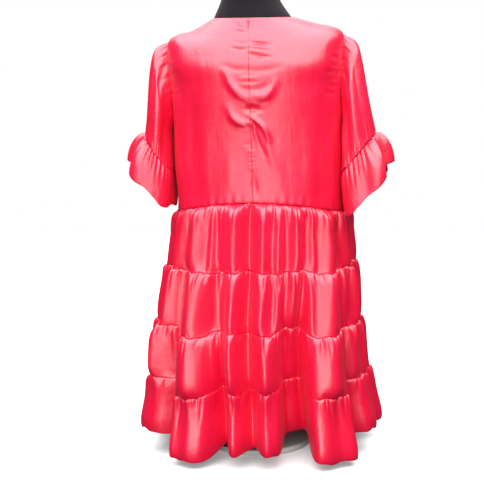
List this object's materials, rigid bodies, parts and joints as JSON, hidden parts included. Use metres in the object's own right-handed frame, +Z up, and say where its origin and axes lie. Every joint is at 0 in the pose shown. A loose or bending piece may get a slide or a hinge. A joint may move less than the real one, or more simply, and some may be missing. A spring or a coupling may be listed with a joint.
{
  "type": "tiered dress on a limbless dress form",
  "caption": "Knee-length satin dress with short ruffled sleeves and gathered tiers, back zip with a swinging pull tab, worn by a limbless form on a round base.",
  "frame": {"origin": "centre of the base plate's underside, on the surface that the form stands on", "axes": "+Z up; -Y the way the front of the dress faces, so the zip faces +Y; +X towards the wearer's left"},
  "size_m": [0.5572, 0.4687, 0.975],
  "materials": {
    "satin": "coral satin with a soft sheen",
    "zip": "gloss paint in the colour of the cloth",
    "form_cover": "matt black jersey",
    "stand": "white powder coat"
  },
  "bodies": {
    "dress_on_form": {"bodice_back_left": "satin", "bodice_back_right": "satin", "bodice_front": "satin", "sleeve_left": "satin", "sleeve_right": "satin", "cuff_ruffle_left": "satin", "cuff_ruffle_right": "satin", "tier_1_back": "satin", "tier_1_front": "satin", "tier_2_back": "satin", "tier_2_front": "satin", "tier_3_back": "satin", "tier_3_front": "satin", "tier_4_back": "satin", "tier_4_front": "satin", "zip_slider": "zip", "form_torso": "form_cover", "form_post": "stand", "form_base": "stand"},
    "pull_tab": {"zip_pull": "zip"}
  },
  "joints": [
    {"name": "tab_swing", "type": "hinge", "parent": "dress_on_form", "child": "pull_tab", "pos_m": [0, 0.07894, 0.89418], "axis": [1, 0, 0], "range_deg": [0, 150]}
  ]
}
